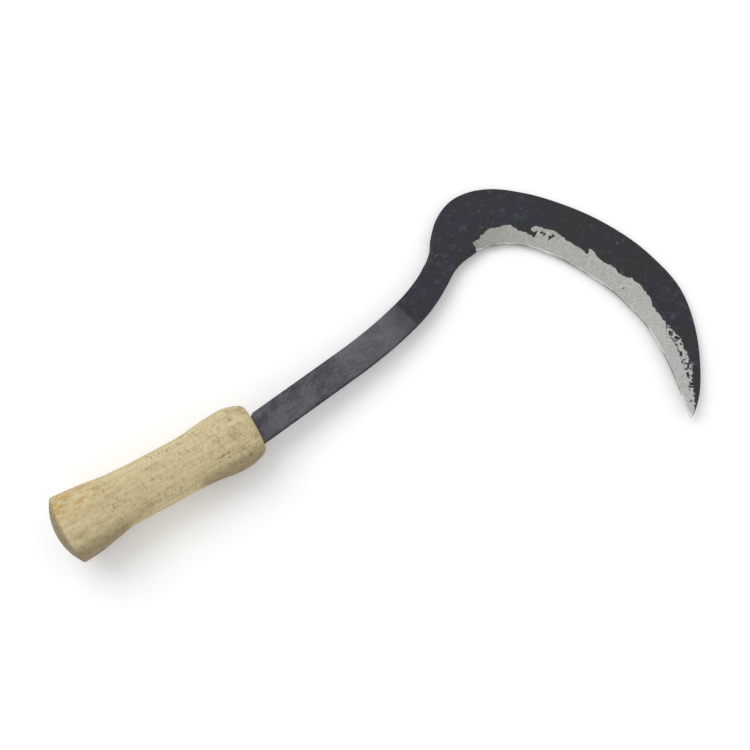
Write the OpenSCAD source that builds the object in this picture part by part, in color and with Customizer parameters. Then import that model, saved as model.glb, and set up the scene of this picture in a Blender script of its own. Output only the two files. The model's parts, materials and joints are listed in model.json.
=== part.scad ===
// A hand sickle: a flat bar shank driven into a turned wooden grip, and a forged blade
// hooked over at the end of the shank. It lies on level ground, blade out along +X, +Z up,
// with its origin at the middle of its box, on the ground.
//
// The steel is drawn round one middle line, which starts at the front of the grip and is
// a chain of arcs. A place along it is a distance from that start, in millimetres.

/* [Grip] */
// Length of the grip along its axis, domed butt included
grip_len = 134.5; // [110:0.5:170]
// Diameter of the flared butt
butt_d = 43.2; // [38:0.2:50]
// Height of the dome on the butt
butt_dome = 6.7; // [3:0.1:9]
// Diameter of the waist that the hand closes on
waist_d = 34.4; // [28:0.2:37]
// Diameter of the swelling behind the front face
swell_d = 40; // [38:0.2:44]
// Diameter of the flat front face
front_d = 29; // [26:0.5:32]
// Distance from the front face back to the widest part of the swelling
swell_back = 15.7; // [12:0.1:22]
// Length of the even waist
waist_len = 36; // [20:1:46]
// Distance from the front face back to the start of the waist
waist_back = 50; // [40:1:56]

/* [Bar and tang] */
// Width of the bar
bar_w = 19.9; // [17:0.1:22]
// Thickness of the bar
bar_t = 5.4; // [4:0.1:7]
// Radius on the long edges of the bar
bar_round = 1.1; // [0.4:0.1:1.6]
// Angle at which the bar leaves the grip, towards the blade's back
bar_tilt = 7.1; // [0:0.1:12]
// Distance from the grip's axis to the middle of the bar at the front face
bar_offset = 1.9; // [0:0.1:3]
// Length of the straight bar in front of the grip
bar_straight = 72.3; // [50:0.1:100]
// Length of the bar's gentle bend, up to the weld
bar_bend_len = 49; // [35:1:70]
// Turn of the gentle bend
bar_bend = 8.8; // [4:0.2:16]
// Depth of the slanted shoulder on the back side of the bar, at the wood
shoulder_cut = 2.4; // [1:0.2:3.4]
// Length of the slanted shoulder
shoulder_len = 4; // [2:0.5:8]
// Gap between the shoulder and the wood
shoulder_gap = 0.25; // [0.1:0.05:0.6]
// Length of the tang inside the grip
tang_len = 88; // [60:1:96]
// Width of the tang at its root
tang_w = 12; // [9:0.25:13]
// Depth that the tang's root is drawn in from each flat side of the bar
tang_step = 0.3; // [0.1:0.05:0.6]
// Width of the tang at its end
tang_end_w = 4.4; // [3:0.1:6]
// Thickness of the tang at its end
tang_end_t = 3.2; // [2.4:0.1:3.8]
// Gap between the tang and the wood round it
tang_gap = 0.15; // [0.05:0.05:0.3]
// Diameter of the hole drilled for the tang
pilot_d = 5.8; // [4:0.1:7]
// Depth that the drilled hole runs on past the end of the tang
pilot_over = 9; // [4:1:12]

/* [Blade outline] */
// Length of the neck past the weld
neck_len = 44; // [30:1:60]
// Turn of the neck, towards the blade's back
neck_bend = 21.3; // [12:0.1:32]
// Length of the recurve under the heel
recurve_len = 21; // [16:1:32]
// Turn of the recurve, towards the cutting edge
recurve_bend = 11; // [6:0.2:20]
// Length of the heel's tight bend
heel_len = 40; // [34:1:50]
// Turn of the heel
heel_bend = 65.2; // [54:0.2:74]
// Length of the belly
belly_len = 107; // [80:1:140]
// Turn of the belly
belly_bend = 42.3; // [30:0.1:52]
// Length of the knee between the belly and the point
knee_len = 19; // [8:1:26]
// Turn of the knee
knee_bend = 17.3; // [8:0.1:24]
// Length of the point
point_len = 70; // [60:1:95]
// Turn of the point
point_bend = 26.7; // [16:0.1:36]
// Width of the neck at its narrowest
neck_w = 18.6; // [15:0.1:22]
// Width across the heel, the widest part
heel_w = 41.5; // [36:0.5:46]
// Width along the belly
belly_w = 37.3; // [30:0.1:40]
// Distance before the heel at which the neck starts to spread
spread_lead = 28; // [20:1:34]
// Length over which the neck spreads to the heel
spread_len = 45; // [36:1:60]
// Length over which the blade narrows to its point
taper_len = 94; // [80:1:120]

/* [Blade section] */
// Thickness of the back at the heel
back_t = 3.2; // [2.6:0.1:4.5]
// Thickness of the back at the point
point_t = 1.8; // [1.2:0.1:2.4]
// Thickness in front of the ground bevel, as a share of the back
thinning = 0.78; // [0.6:0.02:1]
// Bevel on the corners of the back
back_round = 0.6; // [0.2:0.1:0.9]
// Width of the ground bevel on the upper face
bevel_w = 13; // [8:0.5:18]
// Width of the narrow bevel on the lower face
under_bevel_w = 2.6; // [1:0.2:5]
// Height of the cutting edge over the lower face
edge_lift = 0.4; // [0.2:0.05:0.6]
// Thickness left at the cutting edge
edge_t = 0.3; // [0.2:0.05:0.5]
// Distance past the start of the heel at which the ground bevel begins
bevel_from = 0; // [-6:1:12]

/* [Hidden] */

// Steps round the turned grip
turning_fn = 96;
// Cross-sections along the blade
blade_steps = 84;
// Steps along each curve of the grip's profile
profile_steps = 9;
// Length of blade that is left off at the tip, so that it ends in a small face
tip_cut = 0.35;
// Exponents that give the point its fullness
taper_fall = 1.15;
taper_full = 0.67;
// Length over which the heel settles to the belly's width
settle_len = 31;
// Length over which the ground bevel runs in
bevel_run = 10;
// Share of the belly, from its start, at which the blade's back touches the ground
rest_share = 0.49;
// Length of the butt's widest turn, and how far the dome's rim lies inside it
rim_len = 2;
rim_step = 0.3;
// A cut reaches this far past what it cuts
over = 1;

// The middle line: length and turn of each arc, from the grip to the point
ARCS = [
    [bar_straight, 0],
    [bar_bend_len, bar_bend],
    [neck_len, neck_bend],
    [recurve_len, -recurve_bend],
    [heel_len, -heel_bend],
    [belly_len, -belly_bend],
    [knee_len, -knee_bend],
    [point_len, -point_bend]
];
line_start = [0, -bar_offset, bar_tilt];

// Distances along the middle line
weld_at = bar_straight + bar_bend_len;
heel_at = weld_at + neck_len + recurve_len;
belly_at = heel_at + heel_len;
point_at = belly_at + belly_len + knee_len;
line_end = point_at + point_len;
spread_from = heel_at - spread_lead;
taper_from = line_end - taper_len;
bevel_at = heel_at + bevel_from;
rest_at = belly_at + belly_len * rest_share;

function ease(u) = let (c = min(max(u, 0), 1)) c * c * (3 - 2 * c);
function mix(a, b, u) = a + (b - a) * u;

// The place [x, y, heading] at the end of an arc that starts at place p
function advance(p, length, turn) =
    let (half = turn / 2)
    let (chord = abs(half) < 0.001 ? length : length * sin(half) / (half * PI / 180))
    [p[0] + chord * cos(p[2] + half), p[1] + chord * sin(p[2] + half), p[2] + turn];

// The place at distance s along the middle line
function place(s, i = 0, p = line_start) =
    let (arc = ARCS[i])
    s <= arc[0] || i == len(ARCS) - 1
        ? advance(p, s, arc[1] * s / arc[0])
        : place(s - arc[0], i + 1, advance(p, arc[0], arc[1]));

// A point beside the middle line: n towards the back, z up from the middle of the steel
function beside(p, n, z) = [p[0] - n * sin(p[2]), p[1] + n * cos(p[2]), z];

// Width and thickness of the blade
function blade_w(s) =
    let (narrow = mix(bar_w, neck_w, ease((s - weld_at) / neck_len)))
    let (spread = mix(narrow, heel_w, ease((s - spread_from) / spread_len)))
    let (settled = spread - (heel_w - belly_w) * ease((s - spread_from - spread_len) / settle_len))
    let (u = min(max((s - taper_from) / taper_len, 0), 1))
    settled * pow(1 - pow(u, taper_fall), taper_full);
function blade_t(s) =
    let (drawn = mix(bar_t, back_t, ease((s - weld_at) / (heel_at - weld_at))))
    drawn - (back_t - point_t) * max((s - heel_at) / (line_end - heel_at), 0);
function ground(s) = ease((s - bevel_at) / bevel_run);

// Outline of the blade's cross-section, as [n, z], anticlockwise as seen from the point
function blade_section(s) =
    let (g = ground(s))
    let (half_w = blade_w(s) / 2)
    let (back = blade_t(s) / 2)
    let (front = back * mix(1, thinning, g))
    let (corner = min(mix(bar_round, back_round, ease((s - weld_at) / neck_len)), half_w / 2))
    let (upper = min(mix(corner, bevel_w, g), half_w))
    let (under = min(mix(corner, under_bevel_w, g), half_w / 2))
    let (low = mix(-front + corner, -front + edge_lift, g))
    let (high = mix(front - corner, -front + edge_lift + edge_t, g))
    [
        [half_w - corner, back],
        [half_w, back - corner],
        [half_w, -back + corner],
        [half_w - corner, -back],
        [-half_w + under, -front],
        [-half_w, low],
        [-half_w, high],
        [-half_w + upper, front]
    ];

function station(i) = mix(weld_at, line_end - tip_cut, sin(90 * i / blade_steps));
blade_points = [
    for (i = [0:blade_steps])
        let (p = place(station(i)))
        for (q = blade_section(station(i))) beside(p, q[0], q[1])
];

// From the grip's swelling an oval runs down to the front face; a is the angle round the oval
front_drop = (swell_d - front_d) / 2;
function front_oval(a) = [-swell_back * (1 - sin(a)), swell_d / 2 - front_drop * (1 - cos(a))];

// How the tool lies: the oval of the grip and one place on the blade's back touch the ground,
// so the ground holds the direction of the back there. up is square to the ground, and starts
// as square to the steel.
function unit(v) = v / norm(v);
function back_low(s) = let (q = blade_section(s)[3]) beside(place(s), q[0], q[1]);
function grip_low(up) =
    let (side = norm([up[1], up[2]]))
    let (q = front_oval(atan(-up[0] / side * swell_back / front_drop)))
    [q[0], -q[1] * up[1] / side, -q[1] * up[2] / side];
function settle(up, turns) =
    turns == 0 ? up
        : settle(unit(cross(back_low(rest_at + 1) - back_low(rest_at), back_low(rest_at) - grip_low(up))),
            turns - 1);
up = settle([0, 0, 1], 6);
lie_pitch = asin(up[0]);
lie_roll = atan2(up[1], up[2]);

// A point of the tool as it lies, before it is moved to the origin
function rolled(p) =
    [p[0], p[1] * cos(lie_roll) - p[2] * sin(lie_roll), p[1] * sin(lie_roll) + p[2] * cos(lie_roll)];
function lying(p) =
    let (r = rolled(p))
    [
        r[0] * cos(lie_pitch) - r[2] * sin(lie_pitch),
        r[1],
        r[0] * sin(lie_pitch) + r[2] * cos(lie_pitch)
    ];

// The dome of the butt is part of a ball
butt_r = butt_d / 2;
rim_r = butt_r - rim_step;
ball_r = (rim_r * rim_r + butt_dome * butt_dome) / (2 * butt_dome);
ball_x = ball_r - grip_len;
laid = [for (p = blade_points) lying(p)];
far_x = max([for (p = laid) p[0]]);
near_x = lying([ball_x, 0, 0])[0] - ball_r;
far_y = max([for (p = laid) p[1]]);
near_y = min([for (p = laid) p[1]]);
ground_z = lying(back_low(rest_at))[2];
shift = [-(far_x + near_x) / 2, -(far_y + near_y) / 2, -ground_z];

module lie() {
    translate(shift) rotate([lie_roll, -lie_pitch, 0]) children();
}

// Outline of the turned grip as [distance in front of the front face, radius]
rim_x = -grip_len + butt_dome;
flare_x = rim_x + rim_len;
waist_rear = -waist_back - waist_len;
flare_curve = [
    for (i = [0:profile_steps])
        let (u = i / profile_steps)
        [mix(flare_x, waist_rear, u), mix(butt_r, waist_d / 2, ease(u))]
];
swell_curve = [
    for (i = [0:profile_steps])
        let (u = i / profile_steps)
        [mix(-waist_back, -swell_back, u), mix(waist_d / 2, swell_d / 2, ease(u))]
];
front_curve = [for (i = [1:profile_steps]) front_oval(90 * i / profile_steps)];
dome_angle = asin(rim_r / ball_r);
dome_curve = [
    for (i = [0:profile_steps])
        let (a = dome_angle * i / profile_steps)
        [ball_x - ball_r * cos(a), ball_r * sin(a)]
];
grip_profile = concat([[0, 0]], dome_curve, flare_curve, swell_curve, front_curve);

module grip_body() {
    rotate([0, 90, 0]) rotate_extrude($fn = turning_fn)
        polygon([for (p = grip_profile) [p[1], p[0]]]);
}

// One side view of the tang, from reach in front of the wood to its end inside; gap widens
// it to the hole that it fills
module tang_side(root, end, reach, gap) {
    polygon([
        for (q = [[reach, 1], [-tang_len - gap, 1], [-tang_len - gap, -1], [reach, -1]])
            [q[0], q[1] * (mix(root, end, -q[0] / tang_len) / 2 + gap)]
    ]);
}

module tang(reach, gap) {
    translate([0, -bar_offset, 0]) intersection() {
        translate([0, 0, -bar_t]) linear_extrude(2 * bar_t) tang_side(tang_w, tang_end_w, reach, gap);
        rotate([90, 0, 0]) translate([0, 0, -bar_w]) linear_extrude(2 * bar_w)
            tang_side(bar_t - 2 * tang_step, tang_end_t, reach, gap);
    }
}

module bar_profile() {
    inner_w = bar_w - 2 * bar_round;
    inner_t = bar_t - 2 * bar_round;
    square([bar_w, inner_t], center = true);
    square([inner_w, bar_t], center = true);
    for (x = [-1, 1], y = [-1, 1])
        translate([x * inner_w / 2, y * inner_t / 2]) circle(r = bar_round, $fn = 24);
}

// The bar's end is cut level with the wood's face. It starts at seat(n), as a distance along
// the bar from the start of its bend, at n beside its middle line.
function seat(n) = (shoulder_gap + n * sin(bar_tilt)) / cos(bar_tilt) - bar_straight;
shoulder_n = bar_w / 2 - shoulder_cut;
bend_r = bar_bend_len / (bar_bend * PI / 180);

module handle() {
    color([0.76, 0.70, 0.55]) lie() difference() {
        grip_body();
        tang(over, tang_gap);
        translate([-tang_len - pilot_over, -bar_offset, 0]) rotate([0, 90, 0])
            cylinder(d = pilot_d, h = tang_len + pilot_over + over, $fn = 48);
    }
}

module shank() {
    color([0.34, 0.34, 0.36]) lie() {
        tang(shoulder_len, 0);
        translate([0, -bar_offset, 0]) rotate([0, 0, bar_tilt]) translate([bar_straight, 0, 0]) {
            intersection() {
                rotate([90, 0, -90]) linear_extrude(bar_straight + bar_w) bar_profile();
                translate([0, 0, -bar_t]) linear_extrude(2 * bar_t) polygon([
                    [seat(-bar_w), -bar_w],
                    [over, -bar_w],
                    [over, bar_w],
                    [seat(shoulder_n) + shoulder_len, bar_w],
                    [seat(shoulder_n) + shoulder_len, bar_w / 2],
                    [seat(shoulder_n), shoulder_n]
                ]);
            }
            translate([0, bend_r, 0]) rotate([0, 0, -90])
                rotate_extrude(angle = bar_bend, $fn = 360) translate([bend_r, 0]) bar_profile();
        }
    }
}

module blade() {
    ring = 8;
    rings = blade_steps + 1;
    sides = [
        for (i = [0:rings - 2], k = [0:ring - 1])
            let (a = i * ring + k, b = i * ring + (k + 1) % ring)
            each [[a, b, b + ring], [a, b + ring, a + ring]]
    ];
    root_cap = [for (k = [0:ring - 1]) ring - 1 - k];
    tip_cap = [for (k = [0:ring - 1]) (rings - 1) * ring + k];
    color([0.22, 0.23, 0.26]) lie()
        polyhedron(blade_points, concat(sides, [root_cap], [tip_cap]), convexity = 6);
}

handle();
shank();
blade();
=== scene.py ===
"""A hand sickle: a turned wooden grip, a flat bar shank and a forged blade hooked over at its end."""

import json
import math

import bmesh
import bpy
import numpy as np
from mathutils import Matrix, Vector, noise


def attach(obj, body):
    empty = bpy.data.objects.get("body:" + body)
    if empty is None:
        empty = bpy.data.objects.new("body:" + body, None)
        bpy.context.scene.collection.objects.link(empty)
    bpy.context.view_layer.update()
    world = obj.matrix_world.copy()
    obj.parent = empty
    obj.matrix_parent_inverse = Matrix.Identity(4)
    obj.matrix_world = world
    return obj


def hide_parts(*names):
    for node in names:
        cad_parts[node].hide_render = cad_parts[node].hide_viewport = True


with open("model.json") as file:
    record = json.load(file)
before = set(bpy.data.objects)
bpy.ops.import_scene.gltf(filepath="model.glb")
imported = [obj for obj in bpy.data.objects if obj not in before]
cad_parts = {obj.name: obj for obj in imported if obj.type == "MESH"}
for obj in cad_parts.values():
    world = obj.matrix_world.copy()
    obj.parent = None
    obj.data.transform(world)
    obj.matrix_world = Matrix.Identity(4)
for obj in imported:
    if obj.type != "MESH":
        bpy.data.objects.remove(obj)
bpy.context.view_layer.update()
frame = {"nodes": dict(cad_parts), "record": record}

bl_info = {
    "name": "Hand Sickle",
    "version": (1, 0, 0),
    "blender": (4, 5, 0),
    "location": "View3D > Sidebar > Sickle",
    "description": "Makes a hand sickle with a turned grip and a forged, ground blade",
    "category": "Add Mesh",
}

MM = 0.001

# The tool's own frame: its origin is on the grip's axis at the front face, x runs along that
# axis to the blade, y to the blade's back, z out of the flat of the steel.
MOUNTS = {mount["name"]: mount for mount in frame["record"]["mounts"]}
WAIST_MIDDLE = 68.0 * MM


def tool_frame():
    """The matrix from the tool's own frame to the frame that it lies in."""
    x = Vector(MOUNTS["grip_waist"]["axis"]).normalized()
    up = Vector(MOUNTS["bar_flat"]["axis"])
    z = (up - x * up.dot(x)).normalized()
    y = z.cross(x)
    origin = Vector(MOUNTS["grip_waist"]["pos_m"]) + x * WAIST_MIDDLE
    turn = Matrix((x, y, z)).transposed()
    return Matrix.Translation(origin) @ turn.to_4x4()


LYING = tool_frame()

# The middle line of the steel: length and turn in degrees of each arc, from grip to point
ARCS = (
    (72.3 * MM, 0.0),
    (49.0 * MM, 8.8),
    (44.0 * MM, 21.3),
    (21.0 * MM, -11.0),
    (40.0 * MM, -65.2),
    (107.0 * MM, -42.3),
    (19.0 * MM, -17.3),
    (70.0 * MM, -26.7),
)
LINE_START = (0.0, -1.9 * MM, 7.1)
WELD_AT = ARCS[0][0] + ARCS[1][0]
HEEL_AT = WELD_AT + ARCS[2][0] + ARCS[3][0]
LINE_END = sum(arc[0] for arc in ARCS)


def ease(u):
    """Runs smoothly from 0 to 1."""
    c = min(max(u, 0.0), 1.0)
    return c * c * (3.0 - 2.0 * c)


def mix(a, b, u):
    return a + (b - a) * u


def eased_through(knots, at):
    """The value at a place between knots of (place, value), eased from one to the next."""
    if at <= knots[0][0]:
        return knots[0][1]
    for (x0, v0), (x1, v1) in zip(knots, knots[1:]):
        if at <= x1:
            return mix(v0, v1, ease((at - x0) / (x1 - x0)))
    return knots[-1][1]


def place(s):
    """The place (x, y, heading in radians) at a distance along the middle line."""
    x, y, heading = LINE_START[0], LINE_START[1], math.radians(LINE_START[2])
    for index, (length, turn) in enumerate(ARCS):
        last = index == len(ARCS) - 1
        step = s if last or s < length else length
        half = math.radians(turn) * step / length / 2.0
        chord = step if abs(half) < 1e-6 else step * math.sin(half) / half
        x += chord * math.cos(heading + half)
        y += chord * math.sin(heading + half)
        heading += 2.0 * half
        s -= step
        if s <= 0.0:
            break
    return x, y, heading


def wobble(point, size, seed=0.0):
    """Smooth noise between about -1 and 1, whose lumps have that size."""
    return noise.noise(Vector((point[0] / size + seed, point[1] / size - seed, point[2] / size)))


def paint(red, green, blue):
    """A colour written in 0 to 255 as the screen shows it, as scene-linear values."""
    scaled = (channel / 255.0 for channel in (red, green, blue))
    return tuple(c / 12.92 if c <= 0.04045 else ((c + 0.055) / 1.055) ** 2.4 for c in scaled)


def size_setting(name, about, value):
    return bpy.props.FloatProperty(
        name=name, description=about, default=value, min=0.0, subtype="DISTANCE", unit="LENGTH"
    )


def colour_setting(name, about, *rgb):
    return bpy.props.FloatVectorProperty(
        name=name, description=about, default=paint(*rgb), subtype="COLOR", size=3, min=0.0, max=1.0
    )


class SickleGrip(bpy.types.PropertyGroup):
    """Sizes and colours of the turned grip"""

    length: size_setting("Length", "Length along the axis, dome included", 134.5 * MM)
    butt: size_setting("Butt", "Diameter of the flared butt", 43.2 * MM)
    dome: size_setting("Dome", "Height of the dome on the butt", 6.7 * MM)
    waist: size_setting("Waist", "Diameter of the waist", 34.4 * MM)
    swell: size_setting("Swelling", "Diameter behind the front face", 40.0 * MM)
    front: size_setting("Front face", "Diameter of the flat front face", 29.0 * MM)
    chatter: size_setting("Chatter", "Depth of the ripples that the turning tool left", 0.035 * MM)
    light: colour_setting("Light wood", "Clean wood", 208, 194, 152)
    mid: colour_setting("Wood", "Most of the grip", 192, 177, 134)
    dark: colour_setting("Dark wood", "Dark grain", 154, 136, 96)
    warm: colour_setting("Warm wood", "Orange patches near the butt", 184, 148, 88)
    # This colour serves both as dirt at the front and as painted shade on the grip's underside
    grime_and_shade: colour_setting("Grime", "Dirt on the underside and at the front", 112, 96, 72)
    stain: colour_setting("Stain", "Reddish crack and dark ticks", 92, 66, 48)


class SickleSteel(bpy.types.PropertyGroup):
    """Sizes and colours of the bar and the blade"""

    bar_width: size_setting("Bar width", "Width of the bar", 19.9 * MM)
    bar_thickness: size_setting("Bar thickness", "Thickness of the bar", 5.4 * MM)
    neck_width: size_setting("Neck width", "Width of the blade's neck", 18.6 * MM)
    heel_width: size_setting("Heel width", "Width across the heel", 41.5 * MM)
    belly_width: size_setting("Belly width", "Width along the belly", 37.3 * MM)
    back: size_setting("Back", "Thickness of the back at the heel", 3.2 * MM)
    point: size_setting("Point", "Thickness of the back at the point", 1.8 * MM)
    bevel: size_setting("Bevel", "Width of the ground bevel", 13.0 * MM)
    hammering: size_setting("Hammering", "Depth of the hammer marks", 0.11 * MM)
    iron: colour_setting("Bar iron", "Grey of the rolled bar", 80, 80, 88)
    iron_dark: colour_setting("Dark iron", "Dark mottling of the bar", 66, 66, 74)
    iron_light: colour_setting("Light iron", "Light mottling of the bar", 116, 116, 122)
    scale: colour_setting("Forge scale", "Black scale of the blade", 33, 33, 35)
    scale_blue: colour_setting("Blue scale", "Blue patches in the scale", 32, 34, 45)
    rust: colour_setting("Rust", "Brown specks", 86, 80, 70)
    ground: colour_setting("Ground steel", "Bright steel of the bevel", 181, 180, 176)
    ground_dark: colour_setting("Ground grooves", "Dark lines of the bevel", 120, 118, 113)


class SickleStage(bpy.types.PropertyGroup):
    """The floor, the light and the camera"""

    floor: colour_setting("Floor", "Colour of the plain floor", 252, 252, 252)
    floor_size: size_setting("Floor size", "Side of the floor", 6.0)
    distance: size_setting("Camera distance", "From the aim to the camera", 888.6 * MM)
    azimuth: bpy.props.FloatProperty(
        name="Azimuth", description="Turn of the camera round the tool", default=math.radians(-31.916),
        subtype="ANGLE", unit="ROTATION",
    )
    elevation: bpy.props.FloatProperty(
        name="Elevation", description="Height of the camera over the floor",
        default=math.radians(74.487), subtype="ANGLE", unit="ROTATION",
    )
    roll: bpy.props.FloatProperty(
        name="Roll", description="Turn of the camera about its own axis",
        default=math.radians(1.303), subtype="ANGLE", unit="ROTATION",
    )


def closed_mesh(name, rings, attributes=None):
    """A closed mesh object from rings of tool-frame points, each with as many points."""
    count = len(rings[0])
    points = [point for ring in rings for point in ring]
    faces = []
    for i in range(len(rings) - 1):
        for k in range(count):
            a = i * count + k
            b = i * count + (k + 1) % count
            faces.append((a, b, b + count, a + count))
    faces.append(tuple(range(count - 1, -1, -1)))
    faces.append(tuple((len(rings) - 1) * count + k for k in range(count)))
    mesh = bpy.data.meshes.new(name)
    mesh.from_pydata([LYING @ Vector(point) for point in points], [], faces)
    mesh.validate()
    shell = bmesh.new()
    shell.from_mesh(mesh)
    bmesh.ops.recalc_face_normals(shell, faces=shell.faces)
    shell.to_mesh(mesh)
    shell.free()
    for key, values in (attributes or {}).items():
        layer = mesh.attributes.new(key, "FLOAT_VECTOR", "POINT")
        layer.data.foreach_set("vector", np.array(values, np.float32).ravel())
    piece = bpy.data.objects.new(name, mesh)
    bpy.context.scene.collection.objects.link(piece)
    return piece


def shade(piece, angle):
    """Smooth shading that keeps the edges sharper than an angle in degrees."""
    mesh = piece.data
    mesh.shade_smooth()
    mesh.set_sharp_from_angle(angle=math.radians(angle))


def put(tree, socket, value):
    """Links a socket to an input, or sets the input's value."""
    if isinstance(value, bpy.types.NodeSocket):
        tree.links.new(value, socket)
    elif hasattr(value, "__len__") and len(value) == 3 and socket.type == "RGBA":
        socket.default_value = (*value, 1.0)
    else:
        socket.default_value = value


def calc(tree, operation, a, b=0.0):
    node = tree.nodes.new("ShaderNodeMath")
    node.operation = operation
    put(tree, node.inputs[0], a)
    put(tree, node.inputs[1], b)
    return node.outputs[0]


def times(tree, a, b):
    return calc(tree, "MULTIPLY", a, b)


def plus(tree, a, b):
    return calc(tree, "ADD", a, b)


def less(tree, a, b):
    return calc(tree, "SUBTRACT", a, b)


def window(tree, value, low, high):
    """0 below low, 1 above high, eased between; low may be the larger."""
    node = tree.nodes.new("ShaderNodeMapRange")
    node.interpolation_type = "SMOOTHSTEP"
    put(tree, node.inputs["Value"], value)
    node.inputs["From Min"].default_value = min(low, high)
    node.inputs["From Max"].default_value = max(low, high)
    node.inputs["To Min"].default_value = 0.0 if low < high else 1.0
    node.inputs["To Max"].default_value = 1.0 if low < high else 0.0
    return node.outputs[0]


def span(tree, value, rise, fall):
    """1 between a rise and a fall, each written as (from, to) in millimetres."""
    rising = window(tree, value, rise[0] * MM, rise[1] * MM)
    falling = window(tree, value, fall[1] * MM, fall[0] * MM)
    return times(tree, rising, falling)


def stretched(tree, vector, scale, turn=0.0):
    node = tree.nodes.new("ShaderNodeMapping")
    put(tree, node.inputs["Vector"], vector)
    node.inputs["Scale"].default_value = scale
    node.inputs["Rotation"].default_value = (0.0, 0.0, turn)
    return node.outputs[0]


def cloud(tree, vector, scale, detail=2.0, roughness=0.5, distortion=0.0):
    """Noise of a scale in lumps per metre."""
    node = tree.nodes.new("ShaderNodeTexNoise")
    put(tree, node.inputs["Vector"], vector)
    node.inputs["Scale"].default_value = scale
    node.inputs["Detail"].default_value = detail
    node.inputs["Roughness"].default_value = roughness
    node.inputs["Distortion"].default_value = distortion
    return node.outputs[0]


def blended(tree, amount, a, b):
    node = tree.nodes.new("ShaderNodeMix")
    node.data_type = "RGBA"
    put(tree, node.inputs[0], amount)
    put(tree, node.inputs[6], a)
    put(tree, node.inputs[7], b)
    return node.outputs[2]


def layered(tree, colour, layers):
    """The colour with layers of (mask, share, tint) laid over it in turn."""
    for mask, share, tint in layers:
        colour = blended(tree, times(tree, mask, share), colour, tint)
    return colour


def raised(tree, height, distance, normal=None):
    node = tree.nodes.new("ShaderNodeBump")
    put(tree, node.inputs["Height"], height)
    node.inputs["Distance"].default_value = distance
    if normal is not None:
        put(tree, node.inputs["Normal"], normal)
    return node.outputs[0]


def attribute(tree, name):
    node = tree.nodes.new("ShaderNodeAttribute")
    node.attribute_name = name
    return node.outputs["Vector"]


def split(tree, vector):
    node = tree.nodes.new("ShaderNodeSeparateXYZ")
    put(tree, node.inputs[0], vector)
    return node.outputs[0], node.outputs[1], node.outputs[2]


def object_place(tree):
    return tree.nodes.new("ShaderNodeTexCoord").outputs["Object"]


def tool_place(tree):
    """Object coordinates turned into the tool's own frame."""
    node = tree.nodes.new("ShaderNodeMapping")
    node.vector_type = "TEXTURE"
    put(tree, node.inputs["Vector"], object_place(tree))
    node.inputs["Location"].default_value = LYING.translation
    node.inputs["Rotation"].default_value = LYING.to_euler("XYZ")
    return node.outputs[0]


def new_material(name):
    material = bpy.data.materials.new(name)
    material.use_nodes = True
    return material, material.node_tree, material.node_tree.nodes["Principled BSDF"]


# The upper limit of the ground bevel: distance along the blade, width from the cutting edge
GRIND_LIMIT = (
    (184.0, -1.0), (187.2, 2.4), (191.0, 7.2), (197.2, 7.2), (202.0, 9.2), (211.6, 11.8),
    (218.8, 12.0), (228.4, 13.3), (231.6, 11.2), (234.8, 9.4), (238.8, 9.4), (243.6, 8.0),
    (246.6, 7.0), (247.8, 11.0), (249.2, 15.2), (257.6, 15.8), (265.2, 14.4), (268.8, 12.9),
    (278.4, 13.0), (285.2, 11.4), (286.0, 15.6), (288.4, 15.4), (291.6, 13.6), (296.0, 13.2),
    (304.0, 13.9), (310.4, 12.8), (314.4, 13.0), (319.6, 15.2), (326.0, 16.0), (332.0, 15.0),
    (337.2, 14.2), (342.4, 11.8), (347.6, 11.2), (356.0, 11.6), (363.6, 9.2), (376.8, 9.5),
    (386.8, 8.2), (400.8, 7.5), (408.8, 7.0), (415.6, 5.2), (422.0, 3.0),
)
# Bright tongues past that limit: distance along the blade, width from the edge, radius
TONGUES = ((244.8, 12.6, 1.7), (246.4, 13.6, 2.0), (249.2, 13.6, 1.8), (285.6, 14.4, 1.5))
# Past the knee the steel is bright in patches up to this second limit
PATCH_LIMIT = (
    (346.0, -3.0), (354.0, 11.0), (361.6, 13.2), (371.2, 15.0), (377.6, 13.9), (386.8, 14.4),
    (392.4, 12.8), (399.6, 9.6), (406.4, 8.4), (412.8, 7.0), (419.6, 4.5),
)
# Dark islands inside the bevel: distance along the blade, width from the edge, radius
ISLANDS = (
    (250.6, 11.9, 0.9), (252.6, 11.4, 1.2), (257.0, 10.8, 1.4), (258.6, 12.6, 1.0),
    (256.8, 9.2, 0.8), (319.4, 6.4, 0.6), (351.2, 6.0, 0.5), (362.0, 10.0, 0.9),
    (379.0, 11.2, 1.5), (382.0, 11.6, 1.6), (385.4, 10.6, 1.6), (388.4, 10.6, 1.2),
    (394.0, 8.8, 1.0), (396.8, 4.2, 0.7), (402.0, 7.2, 1.2), (404.6, 6.2, 1.0), (411.6, 4.4, 0.8),
)

# Where the scale is a neutral black: rise and fall along the blade, in millimetres
BELLY = ((222.0, 250.0), (318.0, 345.0))

# How far the hand-forged outline leaves the drawn one, towards the blade's back: distance along
# the blade, millimetres, for the inner edge and for the back
EDGE_WAVE = (
    (181.0, 0.0), (190.0, 0.7), (199.0, 1.25), (206.0, 0.7), (213.0, -0.25), (221.0, -0.55),
    (229.0, -0.3), (236.0, 0.6), (246.0, 0.9), (257.0, 0.75), (268.0, 0.5), (279.0, -0.1),
    (297.0, -0.3), (309.0, 0.15), (322.0, 0.65), (341.0, 0.1), (357.0, 0.25), (381.0, 0.4),
    (405.0, 0.35),
)
BACK_WAVE = (
    (150.0, 0.0), (157.0, 0.3), (162.0, 0.0), (169.0, -0.7), (177.0, 0.0), (189.0, -0.3),
    (201.0, 0.0), (221.0, -0.2), (235.0, 0.3), (257.0, -0.1), (281.0, 0.0), (305.0, 0.2),
    (327.0, -0.4), (341.0, 0.0), (362.0, -0.2), (389.0, -0.5), (409.0, 0.0),
)


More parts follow.
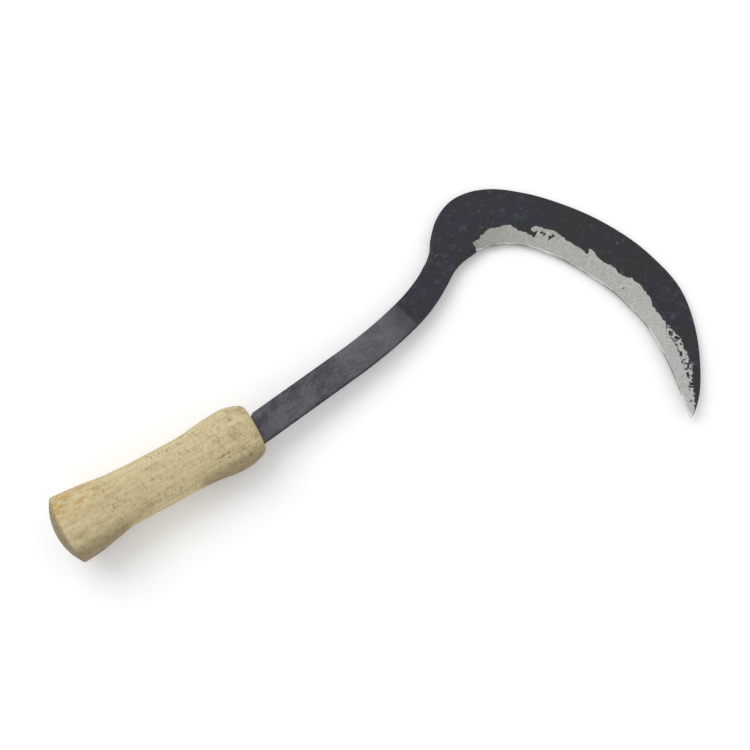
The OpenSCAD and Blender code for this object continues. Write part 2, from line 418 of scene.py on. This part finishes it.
# The heel spreads from before the blade's bend, then the width settles to the belly's
SPREAD_BEFORE = 28.0 * MM
SPREAD_LEN = 45.0 * MM
SETTLE_LEN = 31.0 * MM
TAPER_LEN = 94.0 * MM
TIP_CUT = 0.35 * MM
WAVE_FADE = 14.0 * MM
GRIND_FADE = 10.0 * MM
HAMMER_FADE = 8.0 * MM

# The blade's section: the front is thinned to a share of the back, then ground to the edge
FRONT_SHARE = 0.78
BAR_ROUNDING = 1.1
BLADE_ROUNDING = 0.6
UNDER_BEVEL = 2.6 * MM
EDGE_LOW = 0.4 * MM
EDGE_HIGH = 0.7 * MM

# Points round the section: upper face, bevel, lower bevel, lower face and back
FACE_STEPS = 14
BEVEL_STEPS = 11
UNDER_STEPS = 4
BACK_STEPS = 9
BLADE_STEPS = 560
TIP_CROWDING = 0.35


def blade_half_width(s, steel):
    narrow = mix(steel.bar_width, steel.neck_width, ease((s - WELD_AT) / ARCS[2][0]))
    spread_from = HEEL_AT - SPREAD_BEFORE
    wide = mix(narrow, steel.heel_width, ease((s - spread_from) / SPREAD_LEN))
    settling = ease((s - spread_from - SPREAD_LEN) / SETTLE_LEN)
    wide -= (steel.heel_width - steel.belly_width) * settling
    u = min(max((s - LINE_END + TAPER_LEN) / TAPER_LEN, 0.0), 1.0)
    return wide * (1.0 - u ** 1.15) ** 0.67 / 2.0


def blade_thickness(s, steel):
    drawn = mix(steel.bar_thickness, steel.back, ease((s - WELD_AT) / (HEEL_AT - WELD_AT)))
    return drawn - (steel.back - steel.point) * max((s - HEEL_AT) / (LINE_END - HEEL_AT), 0.0)


def forged_relief(s, n, depth, seed):
    """Hammer marks: broad shallow dents with finer unevenness on them."""
    at = (s, n, 0.0)
    return depth * (0.8 * wobble(at, 11.0 * MM, seed) + 0.3 * wobble(at, 3.5 * MM, seed + 7.0))


def blade_ring(s, steel):
    """One cross-section as (n, z, distance from the cutting edge, 1 on the upper face)."""
    half_w = blade_half_width(s, steel)
    before_tip = ease((LINE_END - s) / WAVE_FADE)
    back_n = half_w + eased_through(BACK_WAVE, s / MM) * MM * before_tip
    edge_n = -half_w + eased_through(EDGE_WAVE, s / MM) * MM * before_tip
    width = back_n - edge_n
    grind = ease((s - HEEL_AT) / GRIND_FADE)
    half_t = blade_thickness(s, steel) / 2.0
    front = half_t * mix(1.0, FRONT_SHARE, grind)
    neck = ease((s - WELD_AT) / ARCS[2][0])
    rounding = min(mix(BAR_ROUNDING, BLADE_ROUNDING, neck) * MM, width / 5.0)
    bevel = min(mix(rounding, steel.bevel, grind), width * 0.9)
    under = min(mix(rounding, UNDER_BEVEL, grind), width * 0.4)
    edge_low = mix(-front + rounding, -front + EDGE_LOW, grind)
    edge_high = mix(front - rounding, -front + EDGE_HIGH, grind)
    depth = steel.hammering * min(width / (12.0 * MM), 1.0) * ease((s - WELD_AT) / HAMMER_FADE)

    ring = []
    for i in range(FACE_STEPS + 1):
        u = i / FACE_STEPS
        n = mix(back_n - rounding, edge_n + bevel, u)
        fade = ease(u * width / (1.5 * MM)) * (1.0 - 0.6 * ease((u - 0.8) / 0.2) * grind)
        z = mix(half_t, front, u) + forged_relief(s, n, depth, 0.0) * fade
        ring.append((n, z, n - edge_n, 1.0))
    for i in range(1, BEVEL_STEPS + 1):
        u = i / BEVEL_STEPS
        n = mix(edge_n + bevel, edge_n, u)
        relief = 0.25 * forged_relief(s, n, depth, 5.0) * math.sin(math.pi * u)
        ring.append((n, mix(front, edge_high, u) + relief, n - edge_n, 1.0))
    for i in range(UNDER_STEPS + 1):
        u = i / UNDER_STEPS
        n = mix(edge_n, edge_n + under, u)
        ring.append((n, mix(edge_low, -front, u), under * u, 0.0))
    for i in range(1, FACE_STEPS + 1):
        u = i / FACE_STEPS
        n = mix(edge_n + under, back_n - rounding, u)
        relief = forged_relief(s, n, 0.8 * depth, 9.0) * math.sin(math.pi * u)
        ring.append((n, mix(-front, -half_t, u) + relief, n - edge_n, 0.0))
    for i in range(1, BACK_STEPS):
        turn = math.radians(180.0 * i / BACK_STEPS - 90.0)
        flat = (half_t - rounding) * (-1.0 if 2 * i <= BACK_STEPS else 1.0)
        n = back_n - rounding + rounding * math.cos(turn)
        ring.append((n, flat + rounding * math.sin(turn), width, 0.0))
    return ring


def station(share):
    """The place of a section along the blade; the sections crowd towards the point."""
    crowded = TIP_CROWDING * math.sin(math.radians(90.0 * share)) + (1.0 - TIP_CROWDING) * share
    return mix(WELD_AT, LINE_END - TIP_CUT, crowded)


def outside(s, from_edge, spots):
    """How far a place on the blade lies outside the nearest of some round spots."""
    return min(
        math.hypot(s - at * MM, from_edge - off * MM) - radius * MM for at, off, radius in spots
    )


def blade_mesh(steel):
    rings, flow, limits = [], [], []
    for i in range(BLADE_STEPS + 1):
        s = station(i / BLADE_STEPS)
        x, y, heading = place(s)
        first = eased_through(GRIND_LIMIT, s / MM) * MM
        second = eased_through(PATCH_LIMIT, s / MM) * MM
        ring = []
        for n, z, from_edge, upper in blade_ring(s, steel):
            ring.append((x - n * math.sin(heading), y + n * math.cos(heading), z))
            solid = min(from_edge - first, outside(s, from_edge, TONGUES))
            solid = max(solid, -outside(s, from_edge, ISLANDS))
            flow.append((s, from_edge, upper))
            limits.append((solid, from_edge - second, 0.0))
        rings.append(ring)
    return closed_mesh("forged_blade", rings, {"flow": flow, "limits": limits})


def blade_material(steel):
    material, tree, shader = new_material("blade_scale_and_bevel")
    flow = attribute(tree, "flow")
    along, from_edge, upper = split(tree, flow)
    solid, patch, _ = split(tree, attribute(tree, "limits"))
    spot = object_place(tree)

    # Where the steel is bare: the torn limit, the patches past it and the strip underneath
    ragged = cloud(tree, spot, 330.0, 6.0, 0.72, 0.6)
    torn = times(tree, less(tree, ragged, 0.5), 3.8 * MM)
    bright = window(tree, plus(tree, solid, torn), 0.12 * MM, -0.12 * MM)
    in_patch = window(tree, plus(tree, patch, times(tree, torn, 2.2)), 0.1 * MM, -0.1 * MM)
    blots = cloud(tree, spot, 330.0, 3.0, 0.6)
    patched = times(tree, in_patch, window(tree, blots, 0.455, 0.495))
    past_heel = window(tree, along, 184.0 * MM, 188.0 * MM)
    strip = times(tree, past_heel, window(tree, from_edge, 3.0 * MM, 2.4 * MM))
    upper_bright = times(tree, calc(tree, "MAXIMUM", bright, patched), upper)
    under_bright = times(tree, strip, less(tree, 1.0, upper))
    bare = calc(tree, "MAXIMUM", upper_bright, under_bright)

    # The scale: black and blue, with pale grain, dark clouds, rust specks and fine scratches
    broad = cloud(tree, spot, 55.0, 3.0, 0.6)
    fine = cloud(tree, spot, 700.0, 5.0, 0.75)
    cloudy = cloud(tree, spot, 170.0, 5.0, 0.7)
    rusty = cloud(tree, spot, 260.0, 5.0, 0.7)
    scratch = cloud(tree, stretched(tree, flow, (60.0, 900.0, 1.0)), 3.0, 2.0)
    belly = span(tree, along, *BELLY)
    blue = less(tree, broad, times(tree, belly, 0.16))
    bloom = less(tree, 0.34, times(tree, belly, 0.2))
    black = blended(tree, window(tree, blue, 0.34, 0.56), steel.scale, steel.scale_blue)
    black = layered(tree, black, (
        (window(tree, fine, 0.5, 0.7), 0.3, paint(70, 71, 77)),
        (window(tree, cloudy, 0.52, 0.66), bloom, paint(76, 84, 100)),
        (window(tree, cloudy, 0.48, 0.34), 0.5, paint(34, 36, 41)),
        (window(tree, rusty, 0.6, 0.68), 0.6, steel.rust),
        (window(tree, scratch, 0.7, 0.78), 0.35, paint(118, 120, 124)),
        (window(tree, along, WELD_AT + 1.3 * MM, WELD_AT + 0.4 * MM), 0.12, paint(118, 118, 120)),
    ))

    # The ground steel: slanted grinding lines, paler to the point and greyer at the heel, with
    # grit, pits and a painted highlight along the edge
    slanted = stretched(tree, stretched(tree, flow, (1.0, 1.0, 1.0), turn=0.26), (2100.0, 210.0, 1.0))
    lines = cloud(tree, slanted, 1.0, 5.0, 0.75, 0.4)
    grit = cloud(tree, spot, 1300.0, 3.0, 0.7)
    pits = cloud(tree, spot, 520.0, 3.0, 0.6)
    glint = cloud(tree, stretched(tree, flow, (45.0, 1.0, 1.0)), 1.0, 2.0)
    # Painted highlight: the bright line along the cutting edge
    edge_highlight = window(tree, from_edge, 1.2 * MM, 0.8 * MM)
    on_edge = window(tree, from_edge, 0.5 * MM, 0.3 * MM)
    silver = blended(tree, window(tree, lines, 0.26, 0.6), steel.ground_dark, steel.ground)
    silver = layered(tree, silver, (
        (window(tree, along, 250.0 * MM, 370.0 * MM), 0.3, paint(204, 203, 200)),
        (window(tree, along, 260.0 * MM, 200.0 * MM), 0.55, paint(140, 138, 131)),
        (window(tree, grit, 0.46, 0.62), 0.5, paint(122, 120, 116)),
        (window(tree, pits, 0.69, 0.74), 0.6, paint(96, 94, 90)),
        (times(tree, edge_highlight, window(tree, glint, 0.4, 0.55)), 0.6, paint(224, 224, 220)),
        (times(tree, on_edge, window(tree, glint, 0.62, 0.48)), 0.85, paint(70, 70, 76)),
    ))

    put(tree, shader.inputs["Base Color"], blended(tree, bare, black, silver))
    put(tree, shader.inputs["Metallic"], times(tree, bare, 0.75))
    rough = less(tree, 0.62, times(tree, bare, 0.22))
    put(tree, shader.inputs["Roughness"], plus(tree, rough, times(tree, fine, 0.1)))
    shader.inputs["Specular IOR Level"].default_value = 0.35
    pitting = raised(tree, fine, 0.05 * MM)
    grooves = raised(tree, times(tree, lines, bare), 0.04 * MM, pitting)
    put(tree, shader.inputs["Normal"], raised(tree, bare, -0.08 * MM, grooves))
    return material


def bar_material(steel):
    material, tree, shader = new_material("bar_iron")
    spot = tool_place(tree)
    along, _, height = split(tree, spot)
    broad = cloud(tree, stretched(tree, spot, (0.55, 1.0, 1.0)), 150.0, 4.0, 0.62)
    fine = cloud(tree, spot, 900.0, 5.0, 0.75)
    specks = cloud(tree, spot, 620.0, 4.0, 0.65)
    lines = cloud(tree, stretched(tree, spot, (40.0, 1100.0, 1100.0)), 1.0, 3.0)
    uneven = plus(tree, along, times(tree, broad, 22.0 * MM))
    # Painted shade: the bar's narrow sides are darkened almost to black
    shaded_flanks = window(tree, calc(tree, "ABSOLUTE", height), 2.35 * MM, 1.9 * MM)
    grey = blended(tree, window(tree, broad, 0.4, 0.62), steel.iron_dark, steel.iron)
    grey = layered(tree, grey, (
        (window(tree, fine, 0.48, 0.7), 0.6, steel.iron_light),
        (window(tree, along, 40.0 * MM, 85.0 * MM), 0.3, steel.iron_light),
        (window(tree, specks, 0.66, 0.72), 0.7, paint(142, 142, 142)),
        (window(tree, lines, 0.58, 0.7), 0.3, steel.iron_dark),
        (window(tree, uneven, 112.0 * MM, 134.0 * MM), 0.55, steel.scale),
        (shaded_flanks, 0.9, paint(32, 33, 41)),
    ))
    put(tree, shader.inputs["Base Color"], grey)
    shader.inputs["Metallic"].default_value = 0.2
    put(tree, shader.inputs["Roughness"], window(tree, broad, 1.2, 0.1))
    shader.inputs["Specular IOR Level"].default_value = 0.35
    coarse = raised(tree, broad, 0.12 * MM)
    put(tree, shader.inputs["Normal"], raised(tree, fine, 0.06 * MM, coarse))
    return material


# How much further the grip reaches to the blade's back and to its edge than an even turning:
# distance in front of the front face, radius gained
BACK_BULGE = (
    (-134.0, 0.5), (-120.0, 0.2), (-104.0, 0.7), (-92.0, 0.95), (-76.0, 0.5), (-58.0, 0.2),
    (-40.0, 0.0), (-14.0, 0.0), (-4.0, -0.5),
)
EDGE_BULGE = (
    (-134.0, 0.6), (-120.0, 0.3), (-113.0, 0.5), (-105.0, 0.0), (-94.0, -0.6), (-82.0, -0.3),
    (-60.0, 0.0), (-46.0, -0.2), (-34.0, -0.5), (-24.0, -0.1), (-14.0, -0.2), (-6.0, -0.5),
)
# Dark knots on the upper side: place in front of the front face, place to the side, radius, depth
KNOTS = (
    (-12.7, 6.5, 1.9, 0.55), (-11.2, -16.7, 1.5, 0.6), (-124.4, -16.9, 0.9, 0.7),
    (-21.0, 4.0, 1.6, 0.25),
)
# The waist is left without the painted shade underneath: rise and fall along the grip, in millimetres
UNSHADED_WAIST = ((-98.0, -90.0), (-50.0, -40.0))
RIM_AT = -127.6 * MM
GRIP_SIDES = 168
PROFILE_STEPS = 30
TURN_STEP = 0.45 * MM
RIM_STEP = 0.3 * MM
RIM_LEN = 2.0 * MM
SWELL_BACK = 15.7 * MM
WAIST_BACK = 50.0 * MM
WAIST_LEN = 36.0 * MM
# The butt's end isn't square: the top of its rim lies this much further back, and the slant
# fades along the flare
RIM_TILT = 2.2 * MM
TILT_FADE = 16.0 * MM
TILT_LEAN = 0.23
TANG_LEN = 88.0 * MM
TANG_GAP = 0.15 * MM
TANG_ROOT_WIDTH = 12.0 * MM
TANG_END_WIDTH = 4.4 * MM
TANG_ROOT_STEP = 0.6 * MM
TANG_END_THICKNESS = 3.2 * MM
FACE_RINGS = 8


def grip_outline(grip):
    """Points (x, radius) from the dome's apex to the front face's rim."""
    butt_r, waist_r, swell_r, front_r = grip.butt / 2, grip.waist / 2, grip.swell / 2, grip.front / 2
    rim_r = butt_r - RIM_STEP
    ball_r = (rim_r ** 2 + grip.dome ** 2) / (2.0 * grip.dome)
    ball_x = ball_r - grip.length
    dome_angle = math.asin(rim_r / ball_r)
    points = []
    for i in range(1, PROFILE_STEPS + 1):
        turn = dome_angle * i / PROFILE_STEPS
        points.append((ball_x - ball_r * math.cos(turn), ball_r * math.sin(turn)))
    rim_x = -grip.length + grip.dome
    flare_x = rim_x + RIM_LEN
    waist_rear = -WAIST_BACK - WAIST_LEN
    x = rim_x + TURN_STEP
    while x < -SWELL_BACK:
        if x < flare_x:
            r = butt_r
        elif x < waist_rear:
            r = mix(butt_r, waist_r, ease((x - flare_x) / (waist_rear - flare_x)))
        elif x < -WAIST_BACK:
            r = waist_r
        else:
            r = mix(waist_r, swell_r, ease((x + WAIST_BACK) / (WAIST_BACK - SWELL_BACK)))
        points.append((x, r))
        x += TURN_STEP
    for i in range(PROFILE_STEPS + 1):
        turn = math.radians(90.0 * i / PROFILE_STEPS)
        drop = (swell_r - front_r) * (1.0 - math.cos(turn))
        points.append((-SWELL_BACK * (1.0 - math.sin(turn)), swell_r - drop))
    return points


def grip_reach(x, radius, turn, grip):
    """The radius at an angle round the axis, with the hand turning's unevenness."""
    back, edge = max(math.cos(turn), 0.0), max(-math.cos(turn), 0.0)
    uneven = eased_through(BACK_BULGE, x / MM) * back + eased_through(EDGE_BULGE, x / MM) * edge
    ripple = wobble((x, 0.3 * math.cos(turn) * MM, 0.3 * math.sin(turn) * MM), 1.3 * MM, 11.0)
    at = (x, radius * math.cos(turn), radius * math.sin(turn))
    lumps = 0.16 * wobble(at, 14.0 * MM, 4.0) + 0.05 * wobble(at, 4.0 * MM, 6.0)
    share = min(radius / (grip.front / 2.0), 1.0)
    return radius + share * ((uneven + lumps) * MM + grip.chatter * ripple)


def tang_hole(x, turn, steel):
    """A point of the tang's tapered hole, at a distance x in front of the front face."""
    u = -x / TANG_LEN
    half_w = mix(TANG_ROOT_WIDTH, TANG_END_WIDTH, u) / 2.0 + TANG_GAP
    root_t = steel.bar_thickness - TANG_ROOT_STEP
    half_t = mix(root_t, TANG_END_THICKNESS, u) / 2.0 + TANG_GAP
    c, s = math.cos(turn), math.sin(turn)
    reach = min(half_w / max(abs(c), 1e-6), half_t / max(abs(s), 1e-6))
    return (x, reach * c + LINE_START[1], reach * s)


def grip_mesh(grip, steel):
    turns = [2.0 * math.pi * k / GRIP_SIDES for k in range(GRIP_SIDES)]
    rings = []
    for x, r in grip_outline(grip):
        ring = []
        slant = 1.0 - ease((x + grip.length - grip.dome) / TILT_FADE)
        tilt = RIM_TILT * slant * 2.0 / grip.butt
        for turn in turns:
            reach = grip_reach(x, r, turn, grip)
            side, height = reach * math.cos(turn), reach * math.sin(turn)
            ring.append((x - tilt * (height - TILT_LEAN * side), side, height))
        rings.append(ring)
    rim = rings[-1]
    mouth = [tang_hole(0.0, turn, steel) for turn in turns]
    for i in range(1, FACE_RINGS + 1):
        u = i / (FACE_RINGS + 1.0)
        worn = 0.05 * MM * math.sin(math.pi * u)
        rings.append([
            (-worn, mix(a[1], b[1], u), mix(a[2], b[2], u)) for a, b in zip(rim, mouth)
        ])
    hole_len = TANG_LEN + TANG_GAP
    for i in range(PROFILE_STEPS + 1):
        rings.append([tang_hole(-hole_len * i / PROFILE_STEPS, turn, steel) for turn in turns])
    turned = [point for ring in rings for point in ring]
    return closed_mesh("turned_grip", rings, {"turned": turned})


def knot_mask(tree, spot, mottle, x, y, radius):
    """A ragged round spot on the grip's upper side, at a place in millimetres."""
    along, side, height = split(tree, spot)
    off_x = plus(tree, along, -x * MM)
    off_y = plus(tree, side, -y * MM)
    squared = plus(tree, times(tree, off_x, off_x), times(tree, off_y, off_y))
    far = plus(tree, calc(tree, "SQRT", squared), times(tree, mottle, 1.6 * MM))
    disc = window(tree, far, (radius + 0.8) * MM, radius * 0.4 * MM)
    return times(tree, disc, window(tree, height, 0.0, 3.0 * MM))


def crack_mask(tree, spot, mottle):
    """The ragged crack along the grain near the front of the grip."""
    along, side, height = split(tree, spot)
    wander = plus(tree, plus(tree, side, 8.2 * MM), times(tree, mottle, 5.0 * MM))
    line = window(tree, calc(tree, "ABSOLUTE", wander), 0.5 * MM, 0.15 * MM)
    on_top = times(tree, line, window(tree, height, 0.0, 5.0 * MM))
    from_middle = calc(tree, "ABSOLUTE", plus(tree, along, 26.4 * MM))
    return times(tree, on_top, window(tree, from_middle, 5.2 * MM, 3.4 * MM))


def wood_material(grip):
    material, tree, shader = new_material("turned_wood")
    spot = attribute(tree, "turned")
    along, side, height = split(tree, spot)

    # The wood itself: fibres, figure and mottling
    fibre = cloud(tree, stretched(tree, spot, (0.06, 1.0, 1.0)), 620.0, 5.0, 0.65, 0.4)
    figure = cloud(tree, stretched(tree, spot, (0.22, 1.0, 1.0)), 90.0, 4.0, 0.6, 1.2)
    mottle = cloud(tree, spot, 380.0, 5.0, 0.7)
    pale = cloud(tree, spot, 240.0, 4.0, 0.65)
    wood = blended(tree, window(tree, fibre, 0.35, 0.62), grip.mid, grip.light)
    wood = layered(tree, wood, (
        (window(tree, figure, 0.5, 0.72), 0.55, grip.dark),
        (window(tree, mottle, 0.5, 0.66), 0.45, grip.dark),
        (window(tree, pale, 0.52, 0.7), 0.5, paint(218, 203, 160)),
    ))

    # Warm streaks near the butt, painted shade on the underside, and dirt at the front
    streaks = cloud(tree, stretched(tree, spot, (0.35, 1.0, 1.0)), 420.0, 5.0, 0.75)
    at_butt = window(tree, along, -88.0 * MM, -112.0 * MM)
    near_butt = times(tree, at_butt, window(tree, side, -6.0 * MM, 9.0 * MM))
    warm = times(tree, near_butt, window(tree, streaks, 0.42, 0.6))
    # Painted shade: the lower side of the grip is darkened with the grime colour, except along the
    # waist
    low_side = plus(tree, side, times(tree, height, 0.5))
    under = window(tree, low_side, -4.0 * MM, -17.0 * MM)
    under = times(tree, under, less(tree, 1.0, span(tree, along, *UNSHADED_WAIST)))
    underside_shade = times(tree, under, plus(tree, times(tree, mottle, 0.8), 0.3))
    at_front = window(tree, along, -42.0 * MM, -14.0 * MM)
    grubby = times(tree, at_front, window(tree, cloud(tree, spot, 130.0, 5.0, 0.7), 0.5, 0.7))
    wood = layered(tree, wood, (
        (warm, 0.9, grip.warm), (underside_shade, 0.95, grip.grime_and_shade), (grubby, 0.5, grip.grime_and_shade),
    ))

    # Ticks across the grain, the crack, pores and knots
    tick_field = cloud(tree, stretched(tree, spot, (1500.0, 260.0, 260.0)), 1.0, 1.0, 0.4)
    tick_zone = cloud(tree, spot, 75.0, 1.0)
    ticks = times(tree, window(tree, tick_field, 0.65, 0.72), window(tree, tick_zone, 0.4, 0.52))
    ticks = times(tree, ticks, window(tree, along, -112.0 * MM, -98.0 * MM))
    pores = cloud(tree, stretched(tree, spot, (0.3, 1.0, 1.0)), 1500.0, 2.0)
    wood = layered(tree, wood, (
        (ticks, 0.5, grip.stain),
        (crack_mask(tree, spot, mottle), 0.8, paint(112, 62, 44)),
        (window(tree, pores, 0.66, 0.72), 0.35, grip.stain),
        *((knot_mask(tree, spot, mottle, x, y, r), depth, grip.stain) for x, y, r, depth in KNOTS),
    ))

    # Painted shade lines along the slanted rim of the butt and the front face's rim, and the domed end
    # grain, darker partly as end grain and partly as painted shade
    lean = less(tree, height, times(tree, side, TILT_LEAN))
    end_at = plus(tree, along, times(tree, lean, RIM_TILT * 2.0 / grip.butt))
    from_rim = calc(tree, "ABSOLUTE", plus(tree, end_at, -RIM_AT))
    # The domed end grain is darker partly as end grain and partly as painted shade
    grain_cloud = cloud(tree, spot, 700.0, 4.0, 0.7)
    end_grain_and_shade = window(tree, grain_cloud, 0.4, 0.6)
    end_grain_and_shade = blended(tree, end_grain_and_shade, paint(122, 108, 80), paint(152, 137, 104))
    dome = window(tree, end_at, RIM_AT - 0.3 * MM, RIM_AT - 1.0 * MM)
    wood = layered(tree, wood, (
        # Painted shade: a dark line along the butt's rim and an orange-brown line along the front
        # face's rim
        (window(tree, from_rim, 0.8 * MM, 0.1 * MM), 0.55, paint(104, 88, 58)),
        (window(tree, along, -1.2 * MM, -0.2 * MM), 0.5, paint(170, 122, 72)),
        (dome, 1.0, end_grain_and_shade),
    ))

    put(tree, shader.inputs["Base Color"], wood)
    put(tree, shader.inputs["Roughness"], window(tree, mottle, 1.4, -0.2))
    shader.inputs["Specular IOR Level"].default_value = 0.25
    grain = raised(tree, fibre, 0.1 * MM)
    pitted = raised(tree, times(tree, ticks, -1.0), 0.15 * MM, grain)
    put(tree, shader.inputs["Normal"], raised(tree, mottle, 0.08 * MM, pitted))
    return material


class SICKLE_OT_forge_blade(bpy.types.Operator):
    """Makes the forged blade with its ground bevel"""

    bl_idname = "sickle.forge_blade"
    bl_label = "Forge Blade"

    def execute(self, context):
        steel = context.scene.sickle_steel
        piece = blade_mesh(steel)
        shade(piece, angle=40.0)
        piece.data.materials.append(blade_material(steel))
        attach(piece, "root")
        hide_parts("blade")
        return {"FINISHED"}


class SICKLE_OT_finish_bar(bpy.types.Operator):
    """Gives the bar its mottled grey iron"""

    bl_idname = "sickle.finish_bar"
    bl_label = "Finish Bar"

    def execute(self, context):
        bar = frame["nodes"]["shank"]
        bar.data.materials.clear()
        bar.data.materials.append(bar_material(context.scene.sickle_steel))
        return {"FINISHED"}


class SICKLE_OT_turn_grip(bpy.types.Operator):
    """Turns the wooden grip with the hole for the tang"""

    bl_idname = "sickle.turn_grip"
    bl_label = "Turn Grip"

    def execute(self, context):
        grip = context.scene.sickle_grip
        piece = grip_mesh(grip, context.scene.sickle_steel)
        shade(piece, angle=28.0)
        piece.data.materials.append(wood_material(grip))
        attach(piece, "root")
        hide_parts("handle")
        return {"FINISHED"}


AIM = Vector((7.706, 22.467, 12.0)) * MM
LENS = 67.752
SENSOR = 36.0
LAMP_AT = Vector((-0.5, 1.1, 1.7))
LAMP_SIZE = 1.6
LAMP_POWER = 14.0
WORLD_LIGHT = 0.75
FLOOR_DROP = 0.25 * MM
FLOOR_GLOW = 0.1
FAR_GLOW = 0.4


def add_camera(stage):
    """A camera at an azimuth and elevation round the aim, rolled about its own axis."""
    turn, rise = stage.azimuth, stage.elevation
    back = Vector((math.sin(turn) * math.cos(rise), -math.cos(turn) * math.cos(rise), math.sin(rise)))
    level = Vector((math.cos(turn), math.sin(turn), 0.0))
    right = level * math.cos(stage.roll) + back.cross(level) * math.sin(stage.roll)
    up = back.cross(right)
    data = bpy.data.cameras.new("photo_camera")
    data.lens = LENS
    data.sensor_width = SENSOR
    camera = bpy.data.objects.new("photo_camera", data)
    bpy.context.scene.collection.objects.link(camera)
    look = Matrix((right, up, back)).transposed().to_4x4()
    camera.matrix_world = Matrix.Translation(AIM + back * stage.distance) @ look
    bpy.context.scene.camera = camera


def add_lamp(name, at, size, power):
    data = bpy.data.lights.new(name, "AREA")
    data.shape = "DISK"
    data.size = size
    data.energy = power
    lamp = bpy.data.objects.new(name, data)
    bpy.context.scene.collection.objects.link(lamp)
    facing = (at - AIM).to_track_quat("Z", "Y").to_matrix().to_4x4()
    lamp.matrix_world = Matrix.Translation(at) @ facing


def white_world():
    """White where it is seen or mirrored, and softer where it lights the tool."""
    world = bpy.data.worlds.new("studio")
    world.use_nodes = True
    tree = world.node_tree
    path = tree.nodes.new("ShaderNodeLightPath")
    seen = calc(tree, "MAXIMUM", path.outputs["Is Camera Ray"], path.outputs["Is Glossy Ray"])
    seen = calc(tree, "MAXIMUM", seen, path.outputs["Is Transmission Ray"])
    light = tree.nodes["Background"]
    light.inputs["Color"].default_value = (1.0, 1.0, 1.0, 1.0)
    strength = plus(tree, times(tree, seen, 1.0 - WORLD_LIGHT), WORLD_LIGHT)
    put(tree, light.inputs["Strength"], strength)
    bpy.context.scene.world = world


def floor_piece(stage):
    """Plain paper that is seen white round the tool and keeps the tool's shadow."""
    half = stage.floor_size / 2.0
    mesh = bpy.data.meshes.new("floor")
    low = -FLOOR_DROP
    corners = [(-half, -half, low), (half, -half, low), (half, half, low), (-half, half, low)]
    mesh.from_pydata(corners, [], [(0, 1, 2, 3)])
    floor = bpy.data.objects.new("floor", mesh)
    bpy.context.scene.collection.objects.link(floor)
    material, tree, shader = new_material("floor_paper")
    put(tree, shader.inputs["Base Color"], stage.floor)
    seen = tree.nodes.new("ShaderNodeLightPath").outputs["Is Camera Ray"]
    put(tree, shader.inputs["Emission Color"], (1.0, 1.0, 1.0))
    across, along, _ = split(tree, object_place(tree))
    squared = plus(tree, times(tree, across, across), times(tree, along, along))
    glow = plus(tree, times(tree, window(tree, squared, 0.2, 6.0), FAR_GLOW), FLOOR_GLOW)
    put(tree, shader.inputs["Emission Strength"], times(tree, seen, glow))
    shader.inputs["Roughness"].default_value = 0.9
    shader.inputs["Specular IOR Level"].default_value = 0.0
    mesh.materials.append(material)
    return floor


class SICKLE_OT_set_stage(bpy.types.Operator):
    """Lays the floor and sets the light and the camera"""

    bl_idname = "sickle.set_stage"
    bl_label = "Set Stage"

    def execute(self, context):
        stage = context.scene.sickle_stage
        add_camera(stage)
        floor_piece(stage)
        add_lamp("key_light", LAMP_AT, LAMP_SIZE, LAMP_POWER)
        white_world()
        context.scene.view_settings.view_transform = "Standard"
        return {"FINISHED"}


class SICKLE_PT_panel(bpy.types.Panel):
    """Lists the steps that make the sickle"""

    bl_label = "Sickle"
    bl_idname = "SICKLE_PT_panel"
    bl_space_type = "VIEW_3D"
    bl_region_type = "UI"
    bl_category = "Sickle"

    def draw(self, context):
        for maker in MAKERS:
            self.layout.operator(maker.bl_idname)


MAKERS = (SICKLE_OT_set_stage, SICKLE_OT_turn_grip, SICKLE_OT_finish_bar, SICKLE_OT_forge_blade)
SETTINGS = {"sickle_grip": SickleGrip, "sickle_steel": SickleSteel, "sickle_stage": SickleStage}
CLASSES = (*SETTINGS.values(), *MAKERS, SICKLE_PT_panel)


def register():
    for item in CLASSES:
        bpy.utils.register_class(item)
    for name, group in SETTINGS.items():
        setattr(bpy.types.Scene, name, bpy.props.PointerProperty(type=group))


def unregister():
    for name in SETTINGS:
        delattr(bpy.types.Scene, name)
    for item in reversed(CLASSES):
        bpy.utils.unregister_class(item)


def main():
    register()
    bpy.ops.sickle.set_stage()
    bpy.ops.sickle.turn_grip()
    bpy.ops.sickle.finish_bar()
    bpy.ops.sickle.forge_blade()


if __name__ == "__main__":
    main()
